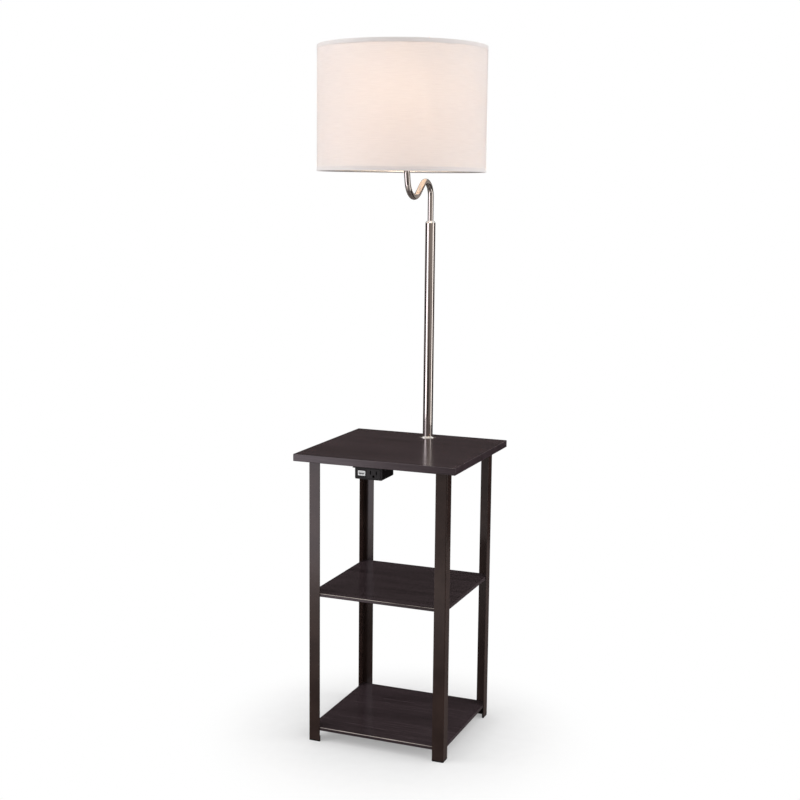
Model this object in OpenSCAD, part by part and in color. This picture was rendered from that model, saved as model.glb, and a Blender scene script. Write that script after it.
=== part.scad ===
// Floor lamp with a side table: three boards on four steel angle legs, a power box under
// the tabletop, and a swing-arm lamp with a fabric drum shade. All sizes in millimetres.
// +Z is up, the floor is at 0, -Y is the front, and X = Y = 0 is the middle of the footprint.

/* [Table] */
// Width of the tabletop, left to right
table_w = 356; // [320:1:400]
// Depth of the tabletop, front to back
table_d = 338; // [310:1:380]
// Thickness of the tabletop board
table_t = 15; // [12:0.5:20]
// Height of the tabletop's upper face above the floor
table_top = 627; // [580:1:660]
// Thickness of the edging strip glued round each board
edging_t = 0.8; // [0.4:0.1:1.5]
// Rounding of the boards' long edges
edge_r = 0.7; // [0.3:0.1:1.2]
// Rounding of the boards' corners, seen from above
corner_r = 2; // [1.5:0.5:4]

/* [Shelves] */
// Thickness of the two shelf boards
shelf_t = 7; // [6:0.5:12]
// Height of the middle shelf's upper face
middle_top = 327; // [260:1:380]
// Height of the bottom shelf's upper face
bottom_top = 31; // [26:1:60]

/* [Legs] */
// Width of each flange of the angle legs
leg_w = 25; // [20:1:32]
// Thickness of the legs' steel sheet
leg_wall = 1.2; // [1:0.1:2]
// Outer radius of the legs' long bend
leg_bend_r = 2; // [1.5:0.1:2.5]
// Distance from the tabletop's edge to the legs' outer faces
leg_inset = 25; // [10:1:30]
// Height of the plastic glide under each leg
glide_h = 3; // [2:0.5:5]

/* [Pole] */
// Sideways place of the pole from the table's middle line
pole_x = 6; // [0:1:20]
// Place of the pole behind the table's middle
pole_back = 131; // [120:1:140]
// Outer diameter of the pole
pole_d = 22; // [20:0.5:25]
// Wall of the pole
pole_wall = 1; // [0.8:0.1:1.2]
// Height of the pole tube's upper end
pole_top = 1098; // [1000:1:1120]
// Diameter of the round flange at the pole's foot
flange_d = 37; // [34:1:50]

/* [Swing arm] */
// Outer diameter of the bent arm tube
arm_d = 12.7; // [12:0.1:13.5]
// Wall of the arm tube
arm_wall = 1; // [0.8:0.1:1.5]
// Height of the arm's first bend above the pole tube's upper end
arm_rise = 56; // [50:1:80]
// Radius of the bend over the top, to the tube's middle
crest_r = 32; // [28:1:36]
// Radius of the bend under the dip, to the tube's middle
dip_r = 40; // [36:1:42]
// How steeply the tube comes down between the two, in degrees from level
fall_angle = 37.5; // [34:0.5:40]
// Running clearance of the arm in its bushings, on the radius
swivel_gap = 0.06; // [0.02:0.01:0.1]

/* [Shade] */
// Outer diameter of the shade's fabric
shade_d = 344; // [300:1:346]
// Height of the shade
shade_h = 248; // [200:1:260]
// Height of the shade's lower rim above the floor
shade_low = 1205; // [1205:1:1215]
// Width of the tape folded over each rim
trim_w = 8; // [5:0.5:14]

/* [Power box] */
// Width of the power box
box_w = 60; // [58:1:70]
// Depth of the power box, front plate included
box_d = 60; // [50:1:80]
// Height of the power box
box_h = 26; // [25:1:32]
// Sideways place of the box's middle
box_x = -11; // [-40:1:10]
// Distance from the tabletop's front edge to the box's front plate
box_setback = 8; // [2:1:20]

/* [Hidden] */
$fn = 64;

// The whole lamp is centred on its footprint, so the table sits this far behind the origin.
table_y = 22;
table_under = table_top - table_t;
leg_x = table_w / 2 - leg_inset;
leg_y = table_d / 2 - leg_inset;

// Small steps between neighbouring pieces, so that none share space.
hair = 0.05;
loose = 0.3;

espresso = "#3d3335";
steel_brown = "#3a3030";
nickel = "#b9b4ab";
plated_brass = "#c9b27a";
black_plastic = "#1b1b1c";
white_cloth = "#f3ece2";

// ---------------------------------------------------------------- places

// A spot at the table's middle line, at floor level.
module at_table() translate([0, table_y, 0]) children();

// The pole's own axis, at floor level.
module at_pole() translate([pole_x, table_y + pole_back, 0]) children();

// The corner of one leg, with local +X and +Y pointing in under the table.
module at_leg(side, end)
    at_table() translate([side * leg_x, end * leg_y, 0])
        mirror([side > 0 ? 1 : 0, 0, 0]) mirror([0, end > 0 ? 1 : 0, 0]) children();

module at_each_leg() for (side = [-1, 1], end = [-1, 1]) at_leg(side, end) children();

// ---------------------------------------------------------------- shared shapes

module ring(outer_r, inner_r, h) difference() {
    cylinder(r = outer_r, h = h);
    translate([0, 0, -1]) cylinder(r = inner_r, h = h + 2);
}

// A flat rectangle with round corners, centred.
module round_rect(w, d, r) {
    square([w - 2 * r, d], center = true);
    square([w, d - 2 * r], center = true);
    for (x = [-1, 1], y = [-1, 1]) translate([x * (w / 2 - r), y * (d / 2 - r)]) circle(r);
}

// A board whose long edges and corners are rounded, standing on z = 0.
module soft_board(w, d, t, r) intersection() {
    linear_extrude(t) round_rect(w, d, corner_r);
    translate([-w / 2, 0, t / 2]) rotate([90, 0, 90]) linear_extrude(w) round_rect(d, t, r);
    translate([0, d / 2, t / 2]) rotate([90, 0, 0]) linear_extrude(d) round_rect(w, t, r);
}

// The chipboard core of a board: the part inside its edging.
module board_core(w, d, t)
    linear_extrude(t) round_rect(w - 2 * edging_t, d - 2 * edging_t, corner_r - edging_t);

// The strip of edging round that core.
module board_edging(w, d, t) difference() {
    soft_board(w, d, t, edge_r);
    translate([0, 0, -1]) board_core(w, d, t + 2);
}

// A pan-head screw pointing up, its head under z = 0, with a cross cut in it.
screw_r = 1.8;
screw_head_r = 3.6;
screw_head_h = 2.2;
module screw(len) {
    cylinder(r = screw_r, h = len);
    difference() {
        translate([0, 0, -screw_head_h]) {
            cylinder(r1 = screw_head_r - 0.9, r2 = screw_head_r, h = 0.9);
            translate([0, 0, 0.9]) cylinder(r = screw_head_r, h = screw_head_h - 0.9);
        }
        for (turn = [0, 90]) rotate(turn)
            translate([-1.9, -0.35, -screw_head_h - 1]) cube([3.8, 0.7, 2.2]);
    }
}

// Bent tube and wire. A path is a list of stations [forward, up, heading], where heading is
// in degrees from level, made from moves: [length] goes straight, [radius, turn] bends.
bend_step = 8;          // degrees of bend between two rings
function moved(at, move, part) = len(move) == 1
    ? [at.x + part * move[0] * cos(at.z), at.y + part * move[0] * sin(at.z), at.z]
    : let (to = at.z + part * move[1], r = move[0] * sign(move[1]))
        [at.x + r * (sin(to) - sin(at.z)), at.y - r * (cos(to) - cos(at.z)), to];
function rings_in(move) = len(move) == 1 ? 1 : ceil(abs(move[1]) / bend_step);
function path(at, moves, i = 0) = i == len(moves) ? [at] : concat(
    [for (k = [0 : rings_in(moves[i]) - 1]) moved(at, moves[i], k / rings_in(moves[i]))],
    path(moved(at, moves[i], 1), moves, i + 1));

// The points of a ring of radius r round every station; forward is -Y.
function ring_points(stations, r, sides) = [for (s = stations, j = [0 : sides - 1])
    let (t = 360 * j / sides)
        [-r * sin(t), r * cos(t) * sin(s.z) - s.x, s.y + r * cos(t) * cos(s.z)]];
// The triangles between neighbouring rings, facing out, or in where inside is true.
function skin(rings, sides, first, inside) = [for (i = [0 : rings - 2], j = [0 : sides - 1])
    let (a = first + i * sides + j, b = first + i * sides + (j + 1) % sides,
        c = a + sides, d = b + sides)
        each inside ? [[a, b, d], [a, d, c]] : [[a, d, b], [a, c, d]]];
// The flat end between an outer ring and an inner one.
function rim(outer, inner, sides, last) = [for (j = [0 : sides - 1])
    let (k = (j + 1) % sides, a = outer + j, b = outer + k, c = inner + j, d = inner + k)
        each last ? [[a, d, b], [a, c, d]] : [[a, b, d], [a, d, c]]];
function end_cap(first, sides, last) = [for (j = [1 : sides - 2])
    last ? [first, first + j + 1, first + j] : [first, first + j, first + j + 1]];

module bent_tube(stations, d, wall, sides) {
    n = len(stations);
    all = n * sides;
    polyhedron(
        points = concat(ring_points(stations, d / 2, sides),
            ring_points(stations, d / 2 - wall, sides)),
        faces = concat(skin(n, sides, 0, false), skin(n, sides, all, true),
            rim(0, all, sides, false), rim(all - sides, 2 * all - sides, sides, true)));
}
module bent_wire(stations, d, sides) {
    n = len(stations);
    polyhedron(points = ring_points(stations, d / 2, sides),
        faces = concat(skin(n, sides, 0, false), end_cap(0, sides, false),
            end_cap((n - 1) * sides, sides, true)));
}

// ---------------------------------------------------------------- table

nipple_r = 5;
screw_in = 13;          // each leg screw's distance from the leg's outer faces
shelf_gap = 0.3;        // between a shelf's edge and the leg's inner face
shelf_w = 2 * (leg_x - leg_wall - shelf_gap);
shelf_d = 2 * (leg_y - leg_wall - shelf_gap);
shelf_bite = 5.5;       // how far a screw goes up into a shelf
table_bite = 11;        // and into the tabletop
tab_t = 2;              // the screw tabs welded inside each leg
tab_w = 21;
tab_cut = 9;

module screw_holes(depth)
    at_each_leg() translate([screw_in, screw_in, -1])
        cylinder(r = screw_r + hair, h = depth + 1);

module tabletop() color(espresso) difference() {
    translate([0, 0, table_under]) at_table() board_core(table_w, table_d, table_t);
    translate([0, 0, table_under]) screw_holes(table_bite + hair);
    at_pole() translate([0, 0, table_under - 1]) cylinder(r = nipple_r + loose, h = table_t + 2);
    translate([0, 0, table_under - 1]) box_screw_places()
        cylinder(r = screw_r + hair, h = box_screw_bite + 1 + hair);
}

module tabletop_edging() color(espresso)
    translate([0, 0, table_under]) at_table() board_edging(table_w, table_d, table_t);

module shelf_board(top) color(espresso) difference() {
    translate([0, 0, top - shelf_t]) at_table() board_core(shelf_w, shelf_d, shelf_t);
    translate([0, 0, top - shelf_t]) screw_holes(shelf_bite + hair);
}
module shelf_edging(top) color(espresso)
    translate([0, 0, top - shelf_t]) at_table() board_edging(shelf_w, shelf_d, shelf_t);

module middle_shelf() shelf_board(middle_top);
module middle_shelf_edging() shelf_edging(middle_top);
module bottom_shelf() shelf_board(bottom_top);
module bottom_shelf_edging() shelf_edging(bottom_top);

// A square with one round corner, at the origin.
module corner_square(w, r) {
    translate([r, 0]) square([w - r, w]);
    translate([0, r]) square([w, w - r]);
    translate([r, r]) circle(r);
}
module angle_section() difference() {
    corner_square(leg_w, leg_bend_r);
    translate([leg_wall, leg_wall]) corner_square(leg_w, leg_bend_r - leg_wall);
}
// A five-sided tab welded into the angle, its upper face at z = top.
module leg_tab(top) {
    in = leg_wall / 2;
    translate([0, 0, top - tab_t]) difference() {
        linear_extrude(tab_t)
            polygon([[in, in], [tab_w, in], [tab_w, tab_cut], [tab_cut, tab_w], [in, tab_w]]);
        translate([screw_in, screw_in, -1]) cylinder(r = screw_r + 0.5, h = tab_t + 2);
    }
}
module angle_leg(side, end) color(steel_brown) at_leg(side, end) {
    translate([0, 0, glide_h]) linear_extrude(table_under - glide_h) angle_section();
    for (top = [table_under, middle_top - shelf_t, bottom_top - shelf_t]) leg_tab(top);
}
module leg_front_left() angle_leg(-1, -1);
module leg_front_right() angle_leg(1, -1);
module leg_back_left() angle_leg(-1, 1);
module leg_back_right() angle_leg(1, 1);

// Moulded glides: a pad under each leg's end and a lip that grips the inside of the angle.
glide_lip = 9;
glide_grip = 2.5;
module leg_glides() color(black_plastic) at_each_leg() {
    linear_extrude(glide_h) difference() {
        corner_square(leg_w, leg_bend_r);
        translate([leg_wall + glide_grip, leg_wall + glide_grip]) square(leg_w);
    }
    translate([leg_wall + hair, leg_wall + hair, 0]) linear_extrude(glide_h + glide_lip)
        difference() {
            corner_square(leg_w - leg_wall - hair, leg_bend_r - leg_wall);
            translate([glide_grip - hair, glide_grip - hair]) square(leg_w);
        }
}

module leg_screws(board_under, bite) color(nickel)
    at_each_leg() translate([screw_in, screw_in, board_under - tab_t]) screw(tab_t + bite);
module tabletop_screws() leg_screws(table_under, table_bite);
module middle_shelf_screws() leg_screws(middle_top - shelf_t, shelf_bite);
module bottom_shelf_screws() leg_screws(bottom_top - shelf_t, shelf_bite);

// ---------------------------------------------------------------- pole and its fixing

pole_r = pole_d / 2;
pole_bore = pole_r - pole_wall;
arm_r = arm_d / 2;
washer_t = 2;
nut_h = 6;
nut_across_flats = 17;
plug_h = 20;

// A low round flange with a softly rounded edge, which hides the hole in the tabletop.
flange_h = 3.6;
flange_edge = 1.4;
module pole_flange() color(nickel) at_pole() translate([0, 0, table_top]) difference() {
    rotate_extrude() {
        square([flange_d / 2 - flange_edge, flange_edge]);
        intersection() {
            translate([flange_d / 2 - flange_edge, 0]) circle(flange_edge);
            square([flange_d, flange_edge]);
        }
        polygon([[0, flange_edge], [flange_d / 2 - flange_edge, flange_edge],
            [pole_r + 1.4, flange_h], [0, flange_h]]);
    }
    translate([0, 0, -1]) cylinder(r = pole_r + hair, h = flange_h + 2);
}

module pole_tube() color(nickel) at_pole() translate([0, 0, table_top])
    ring(pole_r, pole_bore, pole_top - table_top);

// A threaded plug pressed into the pole's foot.
module pole_base_plug() color(nickel) at_pole() translate([0, 0, table_top])
    ring(pole_bore - hair, nipple_r + hair, plug_h);

// A hollow threaded rod through the tabletop: the lead runs up inside it.
nipple_bore = 3.5;
nipple_low = table_under - 12;
module base_nipple() color(plated_brass) at_pole() translate([0, 0, nipple_low])
    ring(nipple_r, nipple_bore, table_top + plug_h - 3 - nipple_low);

module base_washer() color(nickel) at_pole() translate([0, 0, table_under - washer_t])
    ring(15, nipple_r + hair, washer_t);

module base_nut() color(nickel) at_pole() translate([0, 0, table_under - washer_t - nut_h])
    difference() {
        cylinder(d = nut_across_flats / cos(30), h = nut_h, $fn = 6);
        translate([0, 0, -1]) cylinder(r = nipple_r + hair, h = nut_h + 2);
    }

// The domed cap that closes the pole's upper end round the arm.
cap_plug = 16;
cap_h = 5;
cap_bore = 8.5;
cap_seat = 1;           // how far the bushing's bore goes up into the dome
lip_r = arm_r + 0.5;
dome_drop = (pow(pole_r, 2) - pow(lip_r, 2) - pow(cap_h, 2)) / (2 * cap_h);
module pole_cap() color(nickel) at_pole() translate([0, 0, pole_top]) rotate_extrude()
    difference() {
        union() {
            translate([0, -cap_plug]) square([pole_bore - hair, cap_plug]);
            intersection() {
                translate([0, -dome_drop]) circle(norm([pole_r, dome_drop]));
                square([pole_r, cap_h]);
            }
        }
        translate([0, -cap_plug - 1]) square([cap_bore, cap_plug + 1 + cap_seat]);
        square([lip_r, 2 * cap_h]);
    }

// Two plastic bushings hold the arm's stem upright, and the upper one carries its weight.
stem_r = arm_r - arm_wall - hair;
stem_bore = 3.4;
bushing_top = cap_seat - loose;
module upper_bushing() color(black_plastic) at_pole() translate([0, 0, pole_top - cap_plug])
    ring(cap_bore - hair, stem_r + swivel_gap, cap_plug + bushing_top);

// The lower bushing's lug stops the arm's swing at the back.
lower_z = pole_top - 60;
lower_h = 12;
lug_h = 8;
lug_in = 7.4;
lug_half_angle = 4;
lower_bushing_r = pole_bore - hair;
module lower_bushing() color(black_plastic) at_pole() translate([0, 0, lower_z]) {
    ring(lower_bushing_r, stem_r + swivel_gap, lower_h);
    rotate(90 - lug_half_angle) rotate_extrude(angle = 2 * lug_half_angle)
        translate([lug_in, lower_h - 1]) square([lower_bushing_r - lug_in, lug_h + 1]);
}

// ---------------------------------------------------------------- swing arm

mid_fall = 28;          // straight tube between the two open bends
rise_angle = 79;        // how steeply the tube climbs to the shade, from level
climb = 16;             // straight tube at that angle
inner_r = 22;           // radius of the two bends inside the shade
inner_angle = 44;       // how steeply the tube runs between them, from level
arm_end = 10;           // straight tube at the upper end, which takes the lamp holder's nipple
head_offset = 172;      // from the pole's axis to the shade's axis
arm_sides = 32;

// How far forward the bends alone take the tube, and so what the last straight adds.
bends_forward = crest_r * (1 + sin(fall_angle)) + mid_fall * cos(fall_angle)
    + dip_r * (sin(fall_angle) + sin(rise_angle)) + climb * cos(rise_angle)
    + inner_r * (1 + sin(rise_angle) - 2 * sin(inner_angle));
inner_run = (head_offset - bends_forward) / cos(inner_angle);

arm_foot = pole_top + cap_seat;
arm_path = path([0, arm_foot, 90], [
    [arm_rise - cap_seat], [crest_r, -90 - fall_angle], [mid_fall],
    [dip_r, fall_angle + rise_angle], [climb],
    [inner_r, inner_angle - rise_angle], [inner_run], [inner_r, 90 - inner_angle],
    [arm_end]]);
head_z = arm_path[len(arm_path) - 1].y;

module swing_arm() color(nickel) at_pole() bent_tube(arm_path, arm_d, arm_wall, arm_sides);

// A turned stem pressed into the arm's foot, which turns in the two bushings.
stem_low = lower_z - 8;
stem_up = 30;
pin_r = 1.2;
pin_z = lower_z + lower_h + lug_h / 2 + loose;
module arm_stem() color(nickel) at_pole() difference() {
    translate([0, 0, stem_low]) ring(stem_r, stem_bore, arm_foot + stem_up - stem_low);
    translate([0, 0, pin_z]) rotate([90, 0, 0]) cylinder(r = pin_r + hair, h = pole_r);
}

// The pin in the stem's front wall that meets the lower bushing's lug.
module stop_pin() color(plated_brass) at_pole() translate([0, -stem_bore - 0.4, pin_z])
    rotate([90, 0, 0]) cylinder(r = pin_r, h = pole_bore - 0.5 - stem_bore - 0.4);

// The clip under the lower bushing keeps the arm from being lifted out.
clip_r = 9;
clip_t = 1.2;
module retaining_clip() color(nickel) at_pole() translate([0, 0, lower_z - loose - clip_t])
    ring(clip_r, stem_r + hair, clip_t);

// ---------------------------------------------------------------- lamp head

// The shade's own axis, with z = 0 at the arm's upper end.
module at_head() at_pole() translate([0, -head_offset, head_z]) children();

saddle_t = 1.6;
saddle_w = 12;
harp_foot = 28;         // from the head's axis to each leg of the harp
harp_wire = 3.2;
nipple_up = 8;
nipple_down = arm_end - 1;
head_nipple_r = stem_r;

module head_nipple() color(plated_brass) at_head() translate([0, 0, -nipple_down])
    ring(head_nipple_r, stem_bore, nipple_down + nipple_up);

// A stamped strip under the socket with a short tube at each end for the harp's legs.
saddle_tube = 11;
module harp_saddle() color(nickel) at_head() {
    difference() {
        translate([-harp_foot, -saddle_w / 2, 0]) cube([2 * harp_foot, saddle_w, saddle_t]);
        translate([0, 0, -1]) cylinder(r = head_nipple_r + hair, h = saddle_t + 2);
    }
    for (x = [-harp_foot, harp_foot]) translate([x, 0, 0])
        ring(harp_wire / 2 + 1, harp_wire / 2 + hair, saddle_tube);
}

// Ferrules that slide down over the joints and lock the harp in.
ferrule_h = 9;
module harp_ferrules() color(nickel) at_head()
    for (x = [-harp_foot, harp_foot]) translate([x, 0, saddle_tube - ferrule_h + 4])
        difference() {
            cylinder(r = harp_wire / 2 + 2, h = ferrule_h);
            translate([0, 0, -1]) cylinder(r = harp_wire / 2 + 1 + hair, h = ferrule_h - 3);
            cylinder(r = harp_wire / 2 + hair, h = ferrule_h + 1);
        }

// The harp: one wire that swells out past the bulb and closes in a half circle over it.
harp_out = 30;          // degrees that each leg leans out
harp_out_r = 30;
harp_lean = 28;
harp_in_r = 60;
harp_side = 32;
harp_foot_len = 17;
harp_low = 1.8;
harp_sides = 12;
harp_half = harp_foot + (harp_out_r + harp_in_r) * (1 - cos(harp_out))
    + harp_lean * sin(harp_out);
harp_leg = [[harp_foot_len], [harp_out_r, -harp_out], [harp_lean], [harp_in_r, harp_out],
    [harp_side]];
harp_path = path([harp_foot, harp_low, 90], concat(harp_leg, [[harp_half, 180]],
    [for (i = [len(harp_leg) - 1 : -1 : 0]) harp_leg[i]]));
harp_top = max([for (s = harp_path) s.y]);
module harp() color(nickel) at_head() {
    rotate(90) bent_wire(harp_path, harp_wire, harp_sides);
    // the threaded stud that the shade and finial go on
    translate([0, 0, harp_top]) cylinder(r = 5, h = 2.6);
    translate([0, 0, harp_top + 2]) cylinder(r = 3, h = 12);
}

// A turned finial screwed down on the shade's hub.
hub_z = harp_top + 2.6;
hub_t = 1.4;
module finial() color(nickel) at_head() translate([0, 0, hub_z + hub_t]) difference() {
    rotate_extrude() {
        square([5.5, 2]);
        translate([0, 2]) square([3.8, 4]);
        translate([0, 5]) square([5, 1.5]);
        intersection() {
            translate([0, 11]) circle(6);
            square([8, 20]);
        }
    }
    translate([0, 0, -1]) cylinder(r = 3 + hair, h = 11);
}

// Socket: a cup, a shell, and the insulating core with its screw shell and contact.
cup_r = 18;
cup_h = 15;
shell_r = 17;
shell_h = 44;
shell_wall = 0.8;
socket_z = saddle_t;
shaft_z = socket_z + cup_h + 9;
shaft_r = 2;
shaft_gap = 0.08;
module shaft_line() at_head() translate([0, 0, shaft_z]) rotate([90, 0, 0]) children();

module socket_cap() color(nickel) at_head() translate([0, 0, socket_z]) rotate_extrude()
    polygon([[head_nipple_r + hair, 0], [11, 0], [16, 4], [cup_r, 9], [cup_r, cup_h],
        [cup_r - shell_wall, cup_h], [cup_r - shell_wall, 9.5], [15.4, 5], [10.6, 1.2],
        [head_nipple_r + hair, 1.2]]);

module socket_shell() color(nickel) difference() {
    at_head() translate([0, 0, socket_z + cup_h - 4]) ring(shell_r, shell_r - shell_wall, shell_h);
    shaft_line() translate([0, 0, 10]) cylinder(r = shaft_r + shaft_gap, h = 10);
}

core_r = shell_r - shell_wall - 0.3;
core_z = socket_z + 5;
screw_shell_r = 14.2;
screw_shell_low = shaft_z + 5;
screw_shell_top = socket_z + cup_h - 4 + shell_h - 2;
module socket_core() color(black_plastic) difference() {
    at_head() {
        translate([0, 0, core_z + 4]) cylinder(r = core_r - 2, h = 3);
        translate([0, 0, core_z + 6]) cylinder(r = core_r, h = screw_shell_top - core_z - 6);
    }
    at_head() translate([0, 0, screw_shell_low])
        cylinder(r = screw_shell_r + hair, h = shell_h);
    shaft_line() cylinder(r = shaft_r + shaft_gap, h = core_r + 1);
}

module screw_shell() color(plated_brass) at_head() translate([0, 0, screw_shell_low + hair])
    difference() {
        cylinder(r = screw_shell_r, h = screw_shell_top - screw_shell_low - hair);
        translate([0, 0, 0.6]) cylinder(r = bulb_base_r + 0.1, h = shell_h);
        translate([0, 0, -1]) cylinder(r = 6, h = 3);
    }

module socket_contact() color(plated_brass) at_head()
    translate([0, 0, screw_shell_low + hair]) cylinder(r = 4, h = 2.2);

// Turn switch: the shaft's flat key end is hidden in a black ribbed knob.
shaft_out = 36;
knob_h = 13;
module switch_shaft() color(plated_brass) shaft_line() translate([0, 0, 1])
    cylinder(r = shaft_r, h = shaft_out - 1);
module switch_knob() color(black_plastic) shaft_line() translate([0, 0, shaft_out - 8])
    difference() {
        union() {
            cylinder(r = 4.2, h = 3);
            translate([0, 0, 2]) cylinder(r = 6, h = knob_h - 2);
            for (turn = [0 : 30 : 330]) rotate(turn) translate([6, 0, 3])
                cylinder(r = 0.9, h = knob_h - 4, $fn = 16);
        }
        translate([0, 0, -1]) cylinder(r = shaft_r + hair, h = 9 + hair);
    }

// ---------------------------------------------------------------- bulb

bulb_base_r = 13;
bulb_low = screw_shell_low + 3.2;
bulb_base_h = 24;
bulb_r = 30;
bulb_ball_z = 76;
module bulb_base() color(nickel) at_head() translate([0, 0, bulb_low]) {
    cylinder(r1 = 4.5, r2 = 9, h = 3);
    translate([0, 0, 3]) cylinder(r1 = 9, r2 = bulb_base_r, h = 3);
    translate([0, 0, 6]) cylinder(r = bulb_base_r, h = bulb_base_h - 6);
}
// A thin glass envelope, open at the foot: a ball, and a neck that flares up into it.
neck_r = 12.5;
neck_h = 8;
glass_t = 0.8;
ball_up = bulb_ball_z - bulb_base_h;
flare_angle = 28;       // where the flare meets the ball, in degrees under its middle
module envelope(inset) {
    r = bulb_r - inset;
    square([neck_r - inset, neck_h]);
    intersection() {
        translate([0, ball_up]) circle(r);
        square([bulb_r, ball_up + bulb_r]);
    }
    polygon([[0, neck_h - 2], [neck_r - inset, neck_h - 2],
        [r * cos(flare_angle), ball_up - r * sin(flare_angle)], [0, ball_up]]);
}
module bulb_glass() color(white_cloth) at_head() translate([0, 0, bulb_low + bulb_base_h])
    rotate_extrude() difference() {
        envelope(0);
        envelope(glass_t);
    }

// ---------------------------------------------------------------- shade

shade_r = shade_d / 2;
cover_t = 1;
liner_t = 0.5;
tape_t = 0.5;
tape_gap = 0.15;        // between the tape and what it is folded round
tape_in = shade_r - cover_t - liner_t - tape_gap - tape_t;
ring_wire = 3;
ring_r = tape_in - ring_wire / 2 - 2 * hair;
ring_in = 1.8;          // each wire ring's middle, in from its rim
hub_r = 11;

module at_shade() at_pole() translate([0, -head_offset, shade_low]) children();

module shade_cover() color(white_cloth) at_shade() ring(shade_r, shade_r - cover_t, shade_h);
module shade_liner() color("#fbf7f0") at_shade()
    ring(shade_r - cover_t, shade_r - cover_t - liner_t, shade_h);

// A tape folded over a rim: outside, across the edge, and down inside.
module rim_tape() rotate_extrude() difference() {
    translate([tape_in, -tape_t - hair])
        square([shade_r + tape_gap + tape_t - tape_in, trim_w + tape_t + hair]);
    translate([tape_in + tape_t, -hair])
        square([cover_t + liner_t + 2 * tape_gap, trim_w + 1]);
}
module shade_bottom_trim() color("#e9e6e2") at_shade() rim_tape();
module shade_top_trim() color("#e9e6e2") at_shade() translate([0, 0, shade_h])
    mirror([0, 0, 1]) rim_tape();

module wire_ring(sides) rotate_extrude() translate([ring_r, 0])
    circle(d = ring_wire, $fn = sides);
module shade_bottom_ring() color(nickel) at_shade() translate([0, 0, ring_in]) wire_ring(64);

// The top ring, three spokes that dip to the hub, and the hub's washer, all welded.
spoke_sides = 12;
top_ring_z = shade_low + shade_h - ring_in - head_z;
spoke_in = hub_r - 3;
spoke_run = ring_r - spoke_in;
spoke_foot = hub_z + hub_t / 2;
spoke_drop = top_ring_z - spoke_foot;
spoke_path = path([spoke_in, spoke_foot, atan(spoke_drop / spoke_run)],
    [[norm([spoke_run, spoke_drop])]]);
module shade_top_frame() color(nickel) at_head() {
    translate([0, 0, top_ring_z]) wire_ring(spoke_sides);
    translate([0, 0, hub_z]) ring(hub_r, 3 + loose, hub_t);
    for (turn = [0, 120, 240]) rotate(turn) bent_wire(spoke_path, ring_wire, spoke_sides);
}

// ---------------------------------------------------------------- power box

box_wall = 2;
box_r = 2.5;
face_t = 2.5;
box_low = table_under - box_h;
box_front = -table_d / 2 + box_setback;
ear_w = 8;
ear_h = 5;
ear_recess = 2;         // depth of the counterbore for a screw's head
ear_d = 22;
ear_y = face_t + ear_d / 2 + 2;
ear_bottom = table_under - ear_h;
box_screw_bite = 9;
outlet_w = 30;
outlet_h = 19;
outlet_x = 11;          // from the box's middle
usb_w = 16;
usb_h = 10;
usb_x = -15.3;
proud = 0.6;            // how far the outlet and the port stand out of the front plate
outlet_d = 22;
usb_d = 15;
open_z = 12.5;          // height of their middles above the box's underside

// The box's lower front middle, with local +Y going in under the table.
module at_box() at_table() translate([box_x, box_front, box_low]) children();

// An upright rounded block, w wide and h high, whose front face is at y = 0.
module face_block(w, h, d, r) rotate([-90, 0, 0]) mirror([0, 1, 0]) linear_extrude(d)
    round_rect(w, h, r);

// The middles of the two ears that carry the box, at floor level.
module box_screw_places() at_table() for (side = [-1, 1])
    translate([box_x + side * (box_w + ear_w) / 2, box_front + ear_y, 0]) children();

module power_box_shell() color(black_plastic) difference() {
    at_box() {
        difference() {
            translate([0, face_t, box_h / 2]) face_block(box_w, box_h, box_d - face_t, box_r);
            translate([0, face_t - 1, box_h / 2])
                face_block(box_w - 2 * box_wall, box_h - 2 * box_wall, box_d - face_t
                    - box_wall + 1, box_r - 1);
        }
        for (side = [-1, 1])
            translate([side * (box_w + ear_w - 2) / 2, ear_y, box_h - ear_h])
                linear_extrude(ear_h) round_rect(ear_w + 2, ear_d, 2);
    }
    translate([0, 0, ear_bottom - 1]) box_screw_places() {
        cylinder(r = screw_r + 0.2, h = ear_h + 2);
        cylinder(r = screw_head_r - 0.3, h = ear_recess + 1);
    }
    at_box() translate([grommet_x, box_d - box_wall - 1, open_z]) rotate([-90, 0, 0])
        cylinder(r = grommet_r, h = box_wall + 2);
}

small = 0.85;           // the box's screws against the legs'
module power_box_screws() color(nickel) translate([0, 0, ear_bottom + ear_recess])
    box_screw_places() scale(small) screw((ear_h - ear_recess + box_screw_bite) / small);

module power_box_face() color(black_plastic) at_box() difference() {
    translate([0, 0, box_h / 2]) face_block(box_w, box_h, face_t, box_r);
    translate([outlet_x, -1, open_z])
        face_block(outlet_w + 2 * hair, outlet_h + 2 * hair, face_t + 2, 2);
    translate([usb_x, -1, open_z])
        face_block(usb_w + 2 * hair, usb_h + 2 * hair, face_t + 2, 1);
}

// Outlet with two upright slots and a round earth hole.
slot_gap = 12.7;
slot_w = 2.2;
slot_h = 8;
slot_up = 2.4;
earth_r = 2.6;
earth_down = 5.2;
hollow_y = 12;          // where the outlet's hollow back begins
hollow_h = outlet_h - 3;
module outlet_body() color(black_plastic) at_box() difference() {
    translate([outlet_x, -proud, open_z]) face_block(outlet_w, outlet_h, outlet_d, 2);
    for (side = [-1, 1])
        translate([outlet_x + side * slot_gap / 2 - slot_w / 2, -1, open_z + slot_up - slot_h / 2])
            cube([slot_w, hollow_y + 2, slot_h]);
    translate([outlet_x, -1, open_z - earth_down]) rotate([-90, 0, 0])
        cylinder(r = earth_r, h = hollow_y + 2);
    translate([outlet_x - slot_gap, hollow_y, open_z - hollow_h / 2])
        cube([2 * slot_gap, outlet_d, hollow_h]);
}

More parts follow.
